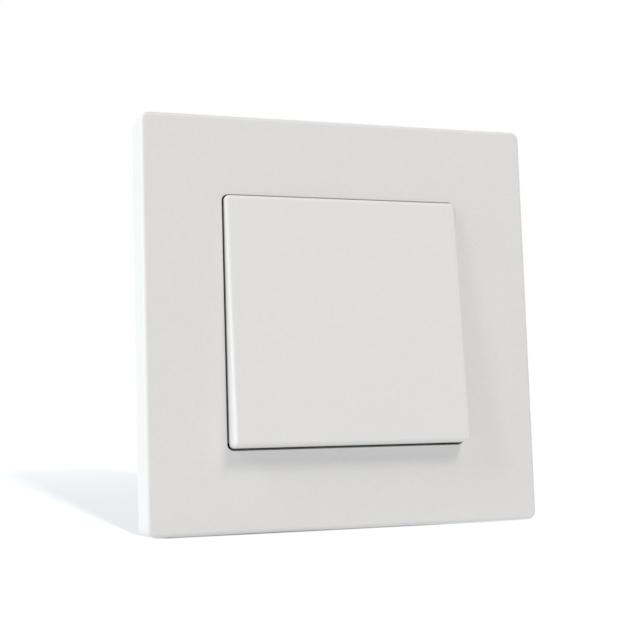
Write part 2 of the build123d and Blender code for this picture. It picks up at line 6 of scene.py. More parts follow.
import bmesh
import bpy
from bpy.props import FloatProperty, FloatVectorProperty, IntProperty, PointerProperty
from mathutils import Matrix, Vector


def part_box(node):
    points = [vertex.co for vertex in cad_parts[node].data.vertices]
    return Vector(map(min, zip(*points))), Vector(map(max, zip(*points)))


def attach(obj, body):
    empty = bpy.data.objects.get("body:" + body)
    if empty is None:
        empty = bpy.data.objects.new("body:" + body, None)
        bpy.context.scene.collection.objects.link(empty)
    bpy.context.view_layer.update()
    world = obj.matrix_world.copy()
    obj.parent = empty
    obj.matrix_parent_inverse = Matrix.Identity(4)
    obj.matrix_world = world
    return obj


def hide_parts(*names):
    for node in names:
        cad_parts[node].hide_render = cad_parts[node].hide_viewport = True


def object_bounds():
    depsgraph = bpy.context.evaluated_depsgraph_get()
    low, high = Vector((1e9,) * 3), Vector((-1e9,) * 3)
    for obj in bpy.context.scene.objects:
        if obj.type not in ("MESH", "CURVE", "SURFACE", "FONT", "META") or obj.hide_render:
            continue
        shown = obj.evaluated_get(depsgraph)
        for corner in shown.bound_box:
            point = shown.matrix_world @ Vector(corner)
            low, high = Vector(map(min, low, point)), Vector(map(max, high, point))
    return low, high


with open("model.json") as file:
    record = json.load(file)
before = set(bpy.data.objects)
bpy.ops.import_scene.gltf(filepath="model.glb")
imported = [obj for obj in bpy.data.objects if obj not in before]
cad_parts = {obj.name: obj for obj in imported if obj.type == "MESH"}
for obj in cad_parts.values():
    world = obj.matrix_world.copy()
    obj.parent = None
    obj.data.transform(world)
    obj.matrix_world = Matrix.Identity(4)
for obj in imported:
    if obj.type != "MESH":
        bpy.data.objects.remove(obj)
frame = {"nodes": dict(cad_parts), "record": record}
cad_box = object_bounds()

bl_info = {
    "name": "Rocker light switch",
    "version": (1, 0, 0),
    "blender": (4, 5, 0),
    "location": "View3D > Sidebar > Light switch",
    "description": "Finishes, threaded screws and a pale stage for a rocker light switch",
    "category": "Object",
}

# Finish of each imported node
finish_of = {row["node"]: row["material_slot"] for row in frame["record"]["subparts"]}
sides = ("left", "right")

# Lengths are in metres
mm = 0.001

# Plain colours
black = (0.0, 0.0, 0.0, 1.0)
white = (1.0, 1.0, 1.0, 1.0)

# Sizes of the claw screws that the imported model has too
shank_r = 1.5 * mm
head_height = 1.9 * mm
head_dome = 0.7 * mm
slot_width = 0.8 * mm

# Fineness of the claw screws, how near to a plane a face or edge is picked, and how near points are joined
core_facets = 64
dome_steps = 6
smooth_angle = math.radians(35)
near = 0.01 * mm
weld = 0.001 * mm

# Thread ridge: depth of its foot in the core, foot and start in pitches, and crest as a share of the foot
ridge_sunk = 0.05 * mm
ridge_foot = 0.9
ridge_start = 0.75
ridge_crest = 0.2

# Range that most values of a noise lie in
noise_low = 0.3
noise_high = 0.7

# Grain of moulded plastic: coarse grain against fine, gloss clouds against tone clouds, and specks
coarse_scale = 0.3
coarse_share = 0.3
gloss_scale = 9.0
specks_per_metre = 400.0
speck_inner = 0.03
speck_outer = 0.06
speck_rarity = 0.9

# How far clouds, grain, specks and rubbing change the colour and the gloss of plastic
cloud_dark = 0.985
cloud_light = 1.012
grain_dark = 0.6
grain_share = 0.14
speck_dark = 0.72
speck_share = 0.5
gloss_range = 0.05
rubbed_gloss = 0.08
plastic_bump = 0.6

# Rubbed edges, which on the white front also carry a painted highlight: how alike the flat and the rounded
# normal are at the band's rim and middle, and its breaks
rim_alike = 0.99
middle_alike = 0.86
breaks_per_metre = 900.0
break_low = 0.35
break_high = 0.6
least_rubbed = 0.25

# Rolled metal: stretch of its streaks, range of its tarnish and streaks, and pits against clouds
rolling_stretch = (1.0, 0.35, 0.03)
tarnish_low = 0.35
tarnish_high = 0.7
streak_low = 0.25
streak_high = 0.75
pit_scale = 12.0
pit_rim = 0.68
pit_floor = 0.78

# How far pits, streaks and rubbing change the colour and the gloss of metal
pit_dark = 0.6
pit_share = 0.45
rubbed_bright = 1.18
rubbed_share = 0.6
shiny_streak = 0.07
dull_streak = 0.09
rubbed_shine = 0.1
metal_bump = 0.5
metal_relief = 0.006 * mm
metal_wear_width = 0.2 * mm

# Tarnished colour of each metal
zinc_tarnish = (0.50, 0.50, 0.485)
spring_tarnish = (0.36, 0.35, 0.34)
brass_tarnish = (0.62, 0.42, 0.19)
copper_tarnish = (0.55, 0.27, 0.17)
silver_tarnish = (0.70, 0.68, 0.63)

# Painted shade on the wall of the frame's window, in the gap round the rocker: how far past the rocker it
# reaches, the unshaded strip at the right, and where it fades in
seam_reach = 0.5 * mm
seam_unshaded = 0.6 * mm
seam_fade = 0.18 * mm
window_wall_shade = (0.03, 0.03, 0.03, 1.0)

# Painted shade on the rocker's lower wall inside the gap: depth that holds the tilted wall, and where it
# fades in
foot_skin = 1.2 * mm
foot_fade = 0.1 * mm
rocker_foot_shade = (0.008, 0.006, 0.005, 1.0)

# Painted contact shadow under the frame: depth, curve, width under the frame, where its ends fade in, and
# its breaks
contact_depth = 0.97
contact_curve = 1.4
contact_under = 2 * mm
contact_left_start = 1 * mm
contact_left_full = 4 * mm
contact_right_full = 0.2
contact_right_end = 0.97
contact_breaks = 70.0
contact_break_low = 0.35
contact_break_high = 0.65
contact_thinnest = 0.75

# Floor and room: side of the floor, clouds in its white, and tints
floor_side = 60.0
paper_clouds = 30.0
paper_range = 0.005
glow_tint = (0.96, 0.98, 1.0, 1.0)
room_tint = (0.98, 0.995, 1.0, 1.0)

# Soft lamps: direction from the switch, width and height in degrees, and tint
lamp_distance = 12.0
soft_lamps = {
    "front_lamp": ((0.218, -0.662, 0.717), 20.0, 20.0, (1.0, 0.95, 0.90)),
    "left_lamp": ((-0.730, -0.281, 0.622), 10.0, 36.0, (0.985, 0.985, 1.0)),
    "side_lamp": ((-0.95, 0.08, 0.3), 26.0, 26.0, (0.88, 0.95, 1.0)),
}

# Lamp that lights the floor: place to the side, distance in front, height over the floor, and size
low_lamp_x = -0.167
low_lamp_distance = 1.4
low_lamp_height = 0.11
low_lamp_size = 0.05

# Camera: place, direction of sight, upward direction, and film
camera_eye = Vector((-0.09168, -0.25129, -0.02662))
camera_sight = Vector((0.3323, 0.9374, 0.1039))
camera_up = Vector((-0.0054, -0.1083, 0.9941))
film_width = 36.0
nearest_seen = 0.01


def colour(name, description, value):
    """A colour that the user can change."""
    return FloatVectorProperty(
        name=name, description=description, subtype="COLOR", size=3, min=0.0, max=1.0, default=value
    )


def length(name, description, value):
    """A length in metres that the user can change."""
    return FloatProperty(
        name=name,
        description=description,
        unit="LENGTH",
        subtype="DISTANCE",
        min=0.0,
        precision=6,
        default=value,
    )


def share(name, description, value):
    """A value from 0 to 1 that the user can change."""
    return FloatProperty(
        name=name, description=description, subtype="FACTOR", min=0.0, max=1.0, default=value
    )


class SwitchFinishes(bpy.types.PropertyGroup):
    """Colours and grain of the switch."""

    frame_white: colour("Frame white", "Moulded plastic of the cover frame", (0.803, 0.789, 0.770))
    rocker_white: colour("Rocker white", "Moulded plastic of the rocker", (0.823, 0.809, 0.790))
    housing_grey: colour("Housing grey", "Plastic of the housing and its covers", (0.56, 0.57, 0.565))
    cradle_black: colour("Cradle black", "Moulded plastic of the cradle", (0.045, 0.046, 0.05))
    nylon_ivory: colour("Nylon ivory", "Natural nylon of the plunger", (0.70, 0.66, 0.55))
    release_orange: colour("Release orange", "Plastic of the release buttons", (0.80, 0.25, 0.035))
    zinc_grey: colour("Zinc grey", "Zinc plate of the support plate, claws and screws", (0.56, 0.57, 0.59))
    spring_grey: colour("Spring grey", "Bare spring steel", (0.46, 0.455, 0.44))
    brass_yellow: colour("Brass yellow", "Stamped brass of the bars", (0.80, 0.58, 0.25))
    copper_red: colour("Copper red", "Rolled copper of the seesaw contact", (0.78, 0.40, 0.25))
    silver_white: colour("Silver white", "Contact rivets", (0.86, 0.85, 0.82))
    grain_size: length("Grain size", "Width of the grain that the mould leaves on plastic", 0.28 * mm)
    grain_depth: length("Grain depth", "Depth of the grain that the mould leaves on plastic", 0.008 * mm)
    wear_width: length("Wear width", "Width of the rubbed band along edges", 0.25 * mm)
    front_roughness: share("Front roughness", "Mean roughness of the white plastic", 0.46)
    # Seam shade: how dark the painted shade on the window's wall in the gap is
    seam_shade: share("Seam shade", "How far dust darkens the wall of the frame's window", 0.93)


class SwitchScrews(bpy.types.PropertyGroup):
    """Sizes of the thread on the claw screws."""

    pitch: length("Thread pitch", "Rise of the thread in one turn", 0.5 * mm)
    depth: length("Thread depth", "From the crest of the thread to its root", 0.27 * mm)
    tip: length("Tip chamfer", "Chamfer at the end of the shank", 0.4 * mm)
    steps: IntProperty(name="Steps", description="Straight steps in one turn", min=12, default=28)


class SwitchStage(bpy.types.PropertyGroup):
    """Floor, lamps and camera."""

    floor_white: colour("Floor white", "Colour of the floor", (0.87, 0.895, 0.92))
    floor_glow: share("Floor glow", "How far the floor is white to the camera whatever lights it", 0.755)
    # Contact reach: spread of the painted contact shadow under the switch
    contact_shadow_reach: length("Contact reach", "Spread of the dark line under the switch", 4.5 * mm)
    floor_bounce: share("Floor bounce", "Light that the floor throws back on the switch", 1.0)
    room_light: share("Room light", "Light that comes evenly from all round", 0.395)
    front_lamp: share("Front lamp", "Lamp above the front, as a share of an even white sky", 0.31)
    left_lamp: share("Left lamp", "Light of the lamp that grazes from the left", 0.23)
    side_lamp: share("Side lamp", "Light of the lamp on the left side", 0.48)
    floor_light: share("Floor light", "Light that the low lamp lays on the floor at the switch", 0.93)
    focal_length: FloatProperty(
        name="Focal length", description="Focal length of the camera", unit="CAMERA", min=1.0, default=73.28
    )


# Node helpers


def put(tree, kind, inputs=None, **settings):
    """Add a node, set its options, and set or link its inputs by name or number."""
    made = tree.nodes.new(kind)
    for key, value in settings.items():
        setattr(made, key, value)
    for key, value in (inputs or {}).items():
        if isinstance(value, bpy.types.NodeSocket):
            tree.links.new(value, made.inputs[key])
        else:
            made.inputs[key].default_value = value
    return made


def sums(tree, operation, *terms):
    """One sum on numbers or sockets."""
    return put(tree, "ShaderNodeMath", dict(enumerate(terms)), operation=operation).outputs[0]


def product(tree, first, *factors):
    """Numbers or sockets multiplied together."""
    for factor in factors:
        first = sums(tree, "MULTIPLY", first, factor)
    return first


def spread(tree, value, low, high, to_low=0.0, to_high=1.0):
    """Map a value from one range to another, held at the ends."""
    inputs = {"Value": value, "From Min": low, "From Max": high, "To Min": to_low, "To Max": to_high}
    return put(tree, "ShaderNodeMapRange", inputs).outputs["Result"]


def tinted(tree, factor, first, second):
    """Mix two colours by a factor."""
    inputs = {0: factor, 6: first, 7: second}
    return put(tree, "ShaderNodeMix", inputs, data_type="RGBA").outputs[2]


def object_place(tree):
    """The place on a piece, in the frame that all pieces share."""
    return put(tree, "ShaderNodeTexCoord").outputs["Object"]


def axes_of(tree, place):
    """X, Y and Z of a place."""
    return put(tree, "ShaderNodeSeparateXYZ", {"Vector": place}).outputs


def noise(tree, place, scale, detail=2.0, roughness=0.5):
    """Noise from 0 to 1 at a place."""
    inputs = {"Vector": place, "Scale": scale, "Detail": detail, "Roughness": roughness}
    return put(tree, "ShaderNodeTexNoise", inputs).outputs["Fac"]


def shade(value, factor):
    """A colour made darker or lighter, as a colour socket takes it."""
    return (*[min(1.0, channel * factor) for channel in value], 1.0)


# Effects that several finishes share


def new_group(name, inputs, outputs):
    """An empty shader group with number sockets, and its inner ends."""
    tree = bpy.data.node_groups.new(name, "ShaderNodeTree")
    for label, value in inputs.items():
        socket = tree.interface.new_socket(label, in_out="INPUT", socket_type="NodeSocketFloat")
        socket.default_value = value
    for label in outputs:
        tree.interface.new_socket(label, in_out="OUTPUT", socket_type="NodeSocketFloat")
    return tree, tree.nodes.new("NodeGroupInput"), tree.nodes.new("NodeGroupOutput")


def mould_grain_group():
    """Grain, gloss, tone and specks that a spark-eroded mould leaves on plastic."""
    tree, start, end = new_group(
        "Mould grain",
        {"Grains per metre": 3500.0, "Clouds per metre": 45.0},
        ("Height", "Gloss", "Tone", "Speck"),
    )
    grains = start.outputs["Grains per metre"]
    clouds = start.outputs["Clouds per metre"]
    place = object_place(tree)
    fine = noise(tree, place, grains, detail=3.0, roughness=0.6)
    coarse = noise(tree, place, product(tree, grains, coarse_scale))
    fine_part = product(tree, fine, 1 - coarse_share)
    tree.links.new(sums(tree, "ADD", fine_part, product(tree, coarse, coarse_share)), end.inputs["Height"])
    tree.links.new(noise(tree, place, product(tree, clouds, gloss_scale), detail=3.0), end.inputs["Gloss"])
    tree.links.new(noise(tree, place, clouds, detail=3.0, roughness=0.55), end.inputs["Tone"])
    cells = put(tree, "ShaderNodeTexVoronoi", {"Vector": place, "Scale": specks_per_metre}).outputs
    dot = spread(tree, cells["Distance"], speck_inner, speck_outer, 1.0, 0.0)
    draw = put(tree, "ShaderNodeSeparateColor", {"Color": cells["Color"]}).outputs["Red"]
    rare = sums(tree, "GREATER_THAN", draw, speck_rarity)
    tree.links.new(product(tree, dot, rare), end.inputs["Speck"])
    return tree


def edge_wear_group():
    """Mask of the band along edges that hands and assembly rub, which on the white front also carries a
    painted highlight.
    """
    tree, start, end = new_group(
        "Edge wear", {"Width": 0.25 * mm, "Breaks per metre": breaks_per_metre}, ("Wear",)
    )
    flat = put(tree, "ShaderNodeNewGeometry").outputs["Normal"]
    rounded = put(tree, "ShaderNodeBevel", {"Radius": start.outputs["Width"]}, samples=6).outputs["Normal"]
    alike = put(tree, "ShaderNodeVectorMath", {0: flat, 1: rounded}, operation="DOT_PRODUCT")
    band = spread(tree, alike.outputs["Value"], rim_alike, middle_alike)
    uneven = noise(tree, object_place(tree), start.outputs["Breaks per metre"], detail=3.0, roughness=0.6)
    broken = spread(tree, uneven, break_low, break_high, least_rubbed, 1.0)
    tree.links.new(product(tree, band, broken), end.inputs["Wear"])
    return tree


def rolled_metal_group():
    """Streaks, clouds, pits and height of rolled or plated metal."""
    tree, start, end = new_group(
        "Rolled metal",
        {"Streaks per metre": 5000.0, "Clouds per metre": 220.0},
        ("Height", "Streak", "Cloud", "Pit"),
    )
    clouds = start.outputs["Clouds per metre"]
    place = object_place(tree)
    drawn = put(tree, "ShaderNodeMapping", {"Vector": place, "Scale": rolling_stretch}).outputs["Vector"]
    streak = noise(tree, drawn, start.outputs["Streaks per metre"], detail=3.0, roughness=0.6)
    tree.links.new(streak, end.inputs["Streak"])
    cloud = noise(tree, place, clouds, detail=4.0, roughness=0.6)
    tree.links.new(cloud, end.inputs["Cloud"])
    pits = noise(tree, place, product(tree, clouds, pit_scale))
    tree.links.new(spread(tree, pits, pit_rim, pit_floor), end.inputs["Pit"])
    height = sums(tree, "ADD", product(tree, streak, 0.5), product(tree, cloud, 0.5))
    tree.links.new(height, end.inputs["Height"])
    return tree


def shared_group(name):
    """A shader group, built the first time it is asked for."""
    builders = {
        "Mould grain": mould_grain_group,
        "Edge wear": edge_wear_group,
        "Rolled metal": rolled_metal_group,
    }
    return bpy.data.node_groups.get(name) or builders[name]()


def use_group(tree, name, values):
    """Place a shared group in a material with its own values, and return its outputs."""
    return put(tree, "ShaderNodeGroup", values, node_tree=shared_group(name)).outputs


# Finishes


def new_material(name, metallic):
    """A material with a plain shader whose constant values are set, and its tree and shader."""
    made = bpy.data.materials.new(name)
    made.use_nodes = True
    shader = made.node_tree.nodes["Principled BSDF"]
    shader.inputs["Metallic"].default_value = metallic
    return made, made.node_tree, shader


def moulded(name, base, roughness, looks, coarser=1.0, rub=0.35, lighter=1.06):
    """Moulded plastic: fine grain, faint clouds in tone and gloss, lighter worn edges, which with a strong
    rub are partly a painted highlight, and a few specks.
    """
    made, tree, shader = new_material(name, 0.0)
    grain = use_group(tree, "Mould grain", {"Grains per metre": 1.0 / (looks.grain_size * coarser)})
    wear = use_group(tree, "Edge wear", {"Width": looks.wear_width})["Wear"]
    clouded = tinted(tree, grain["Tone"], shade(base, cloud_dark), shade(base, cloud_light))
    hollow = spread(tree, grain["Height"], noise_low, noise_high, 0.0, grain_share)
    body = tinted(tree, hollow, clouded, shade(base, grain_dark))
    # Edges lighter: wear on all plastics, and on the white front with its stronger rub also a painted
    # highlight
    rubbed_and_highlit = tinted(tree, product(tree, wear, rub), body, shade(base, lighter))
    specked = tinted(tree, product(tree, grain["Speck"], speck_share), rubbed_and_highlit, shade(base, speck_dark))
    tree.links.new(specked, shader.inputs["Base Color"])
    glossy = roughness - gloss_range
    dull = spread(tree, grain["Gloss"], noise_low, noise_high, glossy, roughness + gloss_range)
    polished = sums(tree, "SUBTRACT", dull, product(tree, wear, rubbed_gloss))
    tree.links.new(polished, shader.inputs["Roughness"])
    relief = {"Height": grain["Height"], "Strength": plastic_bump, "Distance": looks.grain_depth * coarser}
    tree.links.new(put(tree, "ShaderNodeBump", relief).outputs["Normal"], shader.inputs["Normal"])
    return made


def metal(name, base, tarnish, roughness, streaks=5000.0):
    """Rolled, plated or stamped metal: streaks, clouds of tarnish, pits and bright edges."""
    made, tree, shader = new_material(name, 1.0)
    rolled = use_group(tree, "Rolled metal", {"Streaks per metre": streaks})
    wear = use_group(tree, "Edge wear", {"Width": metal_wear_width})["Wear"]
    clouds = spread(tree, rolled["Cloud"], tarnish_low, tarnish_high)
    body = tinted(tree, clouds, (*base, 1.0), (*tarnish, 1.0))
    pitted = tinted(tree, product(tree, rolled["Pit"], pit_share), body, shade(tarnish, pit_dark))
    bright = tinted(tree, product(tree, wear, rubbed_share), pitted, shade(base, rubbed_bright))
    tree.links.new(bright, shader.inputs["Base Color"])
    shiny = roughness - shiny_streak
    dull = spread(tree, rolled["Streak"], streak_low, streak_high, shiny, roughness + dull_streak)
    polished = sums(tree, "SUBTRACT", dull, product(tree, wear, rubbed_shine))
    tree.links.new(polished, shader.inputs["Roughness"])
    relief = {"Height": rolled["Height"], "Strength": metal_bump, "Distance": metal_relief}
    tree.links.new(put(tree, "ShaderNodeBump", relief).outputs["Normal"], shader.inputs["Normal"])
    return made


def window_mask(tree, reach, front):
    """1 on the wall of the frame's window, behind the frame's face, where shade is painted into the gap,
    and else 0.
    """
    axes = axes_of(tree, object_place(tree))
    across = sums(tree, "COMPARE", axes["X"], -seam_unshaded, reach - seam_unshaded)
    upright = sums(tree, "COMPARE", axes["Z"], 0.0, reach)
    behind = spread(tree, axes["Y"], front, front + seam_fade)
    return product(tree, across, upright, behind)


def foot_mask(tree, front):
    """1 on the rocker's lower wall where it stays inside the frame's window at every tilt, where shade is
    painted into the gap, and else 0.
    """
    axes = axes_of(tree, object_place(tree))
    lowest = sums(tree, "LESS_THAN", axes["Z"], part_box("rocker")[0].z + foot_skin)
    behind = spread(tree, axes["Y"], front, front + foot_fade)
    return product(tree, lowest, behind)


def paint_shade(material, mask, painted_shade):
    """Paint shade of one colour into a material's colour where a mask says."""
    tree = material.node_tree
    base = tree.nodes["Principled BSDF"].inputs["Base Color"]
    tree.links.new(tinted(tree, mask, base.links[0].from_socket, painted_shade), base)


def paint_gap_shade(looks):
    """Paint shade into the gap round the rocker, on the window's wall and on the rocker's lower wall."""
    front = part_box("cover_frame")[0].y
    frame_finish = bpy.data.materials["cover_frame_white"]
    wall = window_mask(frame_finish.node_tree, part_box("rocker")[1].x + seam_reach, front)
    # Painted shade on the window's wall in the gap round the rocker
    paint_shade(frame_finish, product(frame_finish.node_tree, wall, looks.seam_shade), window_wall_shade)
    rocker_finish = bpy.data.materials["rocker_white"]
    # Painted shade on the rocker's lower wall inside the gap
    paint_shade(rocker_finish, foot_mask(rocker_finish.node_tree, front), rocker_foot_shade)


def dress(finish, material):
    """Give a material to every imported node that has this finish."""
    for node, slot in finish_of.items():
        if slot == finish:
            frame["nodes"][node].material_slots[0].material = material


# Modelling helpers


def start_piece():
    """Deselect everything, so that operators act on the new piece alone."""
    if bpy.context.mode != "OBJECT":
        bpy.ops.object.mode_set(mode="OBJECT")
    bpy.ops.object.select_all(action="DESELECT")


def select_only(piece):
    """Select one piece and make it the active one."""
    start_piece()
    piece.select_set(True)
    bpy.context.view_layer.objects.active = piece


def settle():
    """Put the place, turn and size of the active piece into its mesh."""
    bpy.ops.object.transform_apply(location=True, rotation=True, scale=True)


def pick(kind, test):
    """In edit mode, select only the faces or edges that pass a test."""
    bpy.ops.mesh.select_mode(type=kind)
    bpy.ops.mesh.select_all(action="DESELECT")
    mesh = bmesh.from_edit_mesh(bpy.context.edit_object.data)
    for item in mesh.faces if kind == "FACE" else mesh.edges:
        item.select_set(test(item))
    bmesh.update_edit_mesh(bpy.context.edit_object.data)


def apply_modifier(piece, kind, **settings):
    """Add a modifier to a piece and apply it."""
    bpy.context.view_layer.objects.active = piece
    modifier = piece.modifiers.new(kind.title(), kind)
    for key, value in settings.items():
        setattr(modifier, key, value)
    bpy.ops.object.modifier_apply(modifier=modifier.name)


def combine(piece, operation, other):
    """Cut another solid from a piece or unite it with the piece, and remove the other."""
    apply_modifier(piece, "BOOLEAN", operation=operation, object=other, solver="EXACT")
    bpy.data.meshes.remove(other.data)


def copied_piece(piece, name, shift):
    """A copy of a piece with a mesh of its own, moved by a shift."""
    select_only(piece)
    bpy.ops.object.duplicate(linked=False)
    copy = bpy.context.object
    bpy.ops.transform.translate(value=shift)
    settle()
    copy.name = name
    copy.data.name = name
    return copy


# Claw screws


def screw_blank(axis_x, head_r, core_r, low_y, high_y, tip):
    """The core of a screw with its chamfered tip and domed head, the head at the low end of Y."""
    head_y = low_y + head_height
    shank_length = high_y - head_y
    start_piece()
    bpy.ops.mesh.primitive_cylinder_add(
        vertices=core_facets,
        radius=core_r,
        depth=shank_length,
        location=(axis_x, head_y + shank_length / 2, 0),
        rotation=(math.pi / 2, 0, 0),
    )
    blank = bpy.context.object
    settle()
    bpy.ops.object.mode_set(mode="EDIT")
    pick("FACE", lambda face: face.calc_center_median().y > high_y - near)
    bpy.ops.mesh.bevel(offset=tip, segments=1, affect="EDGES")
    pick("FACE", lambda face: face.calc_center_median().y < head_y + near)
    grown = head_r / core_r
    bpy.ops.mesh.extrude_region_move(TRANSFORM_OT_translate={"value": (0, 0, 0)})
    bpy.ops.transform.resize(value=(grown, 1, grown), center_override=(axis_x, head_y, 0))
    bpy.ops.mesh.extrude_region_move(TRANSFORM_OT_translate={"value": (0, low_y - head_y, 0)})
    pick("EDGE", lambda edge: all(vert.co.y < low_y + near for vert in edge.verts))
    bpy.ops.mesh.bevel(offset=head_dome, segments=dome_steps, affect="EDGES")
    bpy.ops.object.mode_set(mode="OBJECT")
    return blank


def slot_cutter(axis_x, head_r, low_y):
    """A bar as wide as the driver's slot, half as deep as the head and longer than it is across."""
    start_piece()
    bpy.ops.mesh.primitive_cube_add(size=1, location=(axis_x, low_y, 0))
    cutter = bpy.context.object
    cutter.scale = (3 * head_r, head_height, slot_width)
    settle()
    return cutter


def thread_ridge(axis_x, core_r, start_y, end_y, screws):
    """The ridge of the thread, wound round the core as a closed strip."""
    turns = int((end_y - start_y) / screws.pitch) - 1
    ridge_r = shank_r - core_r + ridge_sunk
    middle_r = core_r - ridge_sunk + ridge_r / 2
    start_piece()
    bpy.ops.mesh.primitive_plane_add(size=1, location=(middle_r, 0, 0), rotation=(math.pi / 2, 0, 0))
    ridge = bpy.context.object
    ridge.scale = (ridge_r, ridge_foot * screws.pitch, 1)
    settle()
    bpy.ops.object.mode_set(mode="EDIT")
    pick("EDGE", lambda edge: all(vert.co.x > shank_r - near for vert in edge.verts))
    bpy.ops.transform.resize(value=(1, 1, ridge_crest), center_override=(shank_r, 0, 0))
    bpy.ops.mesh.select_all(action="SELECT")
    bpy.ops.mesh.delete(type="ONLY_FACE")
    bpy.ops.object.mode_set(mode="OBJECT")
    apply_modifier(
        ridge,
        "SCREW",
        axis="Z",
        angle=2 * math.pi,
        screw_offset=screws.pitch,
        iterations=turns,
        steps=screws.steps,
        render_steps=screws.steps,
        use_merge_vertices=True,
        merge_threshold=weld,
    )
    bpy.ops.object.mode_set(mode="EDIT")
    bpy.ops.mesh.select_mode(type="EDGE")
    bpy.ops.mesh.select_all(action="DESELECT")
    bpy.ops.mesh.select_non_manifold()
    bpy.ops.mesh.fill_holes(sides=0)
    bpy.ops.mesh.select_all(action="SELECT")
    bpy.ops.mesh.normals_make_consistent(inside=False)
    bpy.ops.object.mode_set(mode="OBJECT")
    ridge.rotation_euler = (-math.pi / 2, 0, 0)
    ridge.location = (axis_x, start_y + ridge_start * screws.pitch, 0)
    settle()
    return ridge


def claw_screw(name, low, high, screws):
    """A slotted pan-head screw with a real thread, head towards the room, in the box of its node."""
    axis_x = (low.x + high.x) / 2
    head_r = (high.x - low.x) / 2
    core_r = shank_r - screws.depth
    piece = screw_blank(axis_x, head_r, core_r, low.y, high.y, screws.tip)
    combine(piece, "DIFFERENCE", slot_cutter(axis_x, head_r, low.y))
    combine(piece, "UNION", thread_ridge(axis_x, core_r, low.y + head_height, high.y - screws.tip, screws))
    select_only(piece)
    bpy.ops.object.shade_smooth_by_angle(angle=smooth_angle)
    piece.name = name
    piece.data.name = name
    return piece


# Stage


def looking_from(place, target, up):
    """Turn that looks from a place to a target with one direction kept up."""
    back = (Vector(place) - Vector(target)).normalized()
    right = Vector(up).cross(back).normalized()
    return Matrix((right, back.cross(right), back)).transposed().to_euler()


def oval_lamp(name, place, target, width, height, energy):
    """An oval lamp that faces a target."""
    start_piece()
    turn = looking_from(place, target, (0, 0, 1))
    bpy.ops.object.light_add(type="AREA", location=place, rotation=turn)
    lamp = bpy.context.object
    lamp.name = name
    lamp.data.shape = "ELLIPSE"
    lamp.data.size = width
    lamp.data.size_y = height
    lamp.data.energy = energy
    return lamp


def soft_lamp(name, light, toward, width, height, tint):
    """A far soft lamp, so many degrees wide and high, that faces the middle of the switch."""
    place = lamp_distance * Vector(toward).normalized()
    across = 2 * lamp_distance * math.tan(math.radians(width) / 2)
    upright = 2 * lamp_distance * math.tan(math.radians(height) / 2)
    lamp = oval_lamp(name, place, (0, 0, 0), across, upright, light * (math.pi * lamp_distance) ** 2)
    lamp.data.color = tint
    return lamp


def low_lamp(light):
    """A low lamp in front that lights the floor, so that the switch's shadow widens as it runs back."""
    place = Vector((low_lamp_x, -low_lamp_distance, cad_box[0].z + low_lamp_height))
    energy = light * math.pi**2 * low_lamp_distance / low_lamp_height
    lamp = oval_lamp("floor_lamp", place, (0, 0, place.z), low_lamp_size, low_lamp_size, energy)
    lamp.data.use_nodes = True
    tree = lamp.data.node_tree
    even = put(tree, "ShaderNodeLightFalloff", {"Strength": 1.0}).outputs["Constant"]
    tree.links.new(even, tree.nodes["Emission"].inputs["Strength"])
    return lamp


def link_light(lamp, floor, state):
    """Say whether a lamp lights the floor alone, or everything but the floor."""
    receivers = bpy.data.collections.new(f"{lamp.name} lights")
    receivers.objects.link(floor)
    receivers.collection_objects[0].light_linking.link_state = state
    lamp.light_linking.receiver_collection = receivers


def background_rays(tree):
    """1 for rays that show the background, to the eye, in a reflection or through glass, and else 0."""
    rays = put(tree, "ShaderNodeLightPath").outputs
    some = sums(tree, "MAXIMUM", rays["Is Camera Ray"], rays["Is Glossy Ray"])
    return sums(tree, "MAXIMUM", some, rays["Is Transmission Ray"])


def contact_shadow_mask(tree, place, stage):
    """Painted contact shadow: the dark line where the frame stands on the floor, fading forwards and to its
    right end.
    """
    low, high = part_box("cover_frame")
    axes = axes_of(tree, place)
    forward = spread(tree, axes["Y"], low.y - stage.contact_shadow_reach, low.y)
    curved = sums(tree, "POWER", forward, contact_curve)
    under = sums(tree, "LESS_THAN", axes["Y"], low.y + contact_under)
    left_end = spread(tree, axes["X"], low.x + contact_left_start, low.x + contact_left_full)
    right_end = spread(tree, axes["X"], contact_right_full * high.x, contact_right_end * high.x, 1.0, 0.0)
    uneven = noise(tree, place, contact_breaks)
    broken = spread(tree, uneven, contact_break_low, contact_break_high, contact_thinnest, 1.0)
    return product(tree, curved, under, left_end, right_end, broken, contact_depth)


def lost_light(tree, place):
    """Share of the low lamp's light at the switch that is missing at a place on the floor."""
    axes = axes_of(tree, place)
    aside = sums(tree, "SUBTRACT", axes["X"], low_lamp_x)
    ahead = sums(tree, "MAXIMUM", sums(tree, "ADD", axes["Y"], low_lamp_distance), 0.0)
    across = sums(tree, "ADD", product(tree, aside, aside), low_lamp_height**2)
    apart = sums(tree, "ADD", product(tree, ahead, ahead), across)
    kept = sums(tree, "DIVIDE", product(tree, ahead, low_lamp_distance), apart)
    return sums(tree, "MAXIMUM", sums(tree, "SUBTRACT", 1.0, kept), 0.0)


